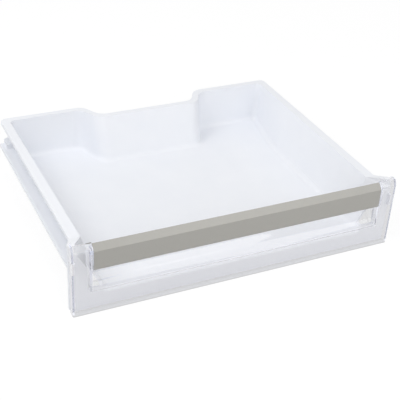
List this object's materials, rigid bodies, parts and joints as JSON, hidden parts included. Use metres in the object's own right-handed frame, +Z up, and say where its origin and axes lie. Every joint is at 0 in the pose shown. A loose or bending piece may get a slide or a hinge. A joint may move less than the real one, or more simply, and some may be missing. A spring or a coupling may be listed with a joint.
{
  "type": "freezer drawer",
  "caption": "Shallow freezer drawer: white moulded tub on side rails, clear front with a finger scoop under a grey handle trim.",
  "frame": {"origin": "middle of the drawer's footprint, at the height of the clear front's bottom edge", "axes": "+X across the drawer to the right as seen from its front, +Y towards the freezer's back, +Z up"},
  "size_m": [0.46, 0.371, 0.102],
  "materials": {
    "white_plastic": "satin moulded white",
    "clear_plastic": "clear, polished, blue at its edges",
    "grey_trim": "satin warm grey"
  },
  "bodies": {
    "root": {"tub": "white_plastic", "front_panel": "clear_plastic", "handle_trim": "grey_trim"}
  },
  "joints": []
}
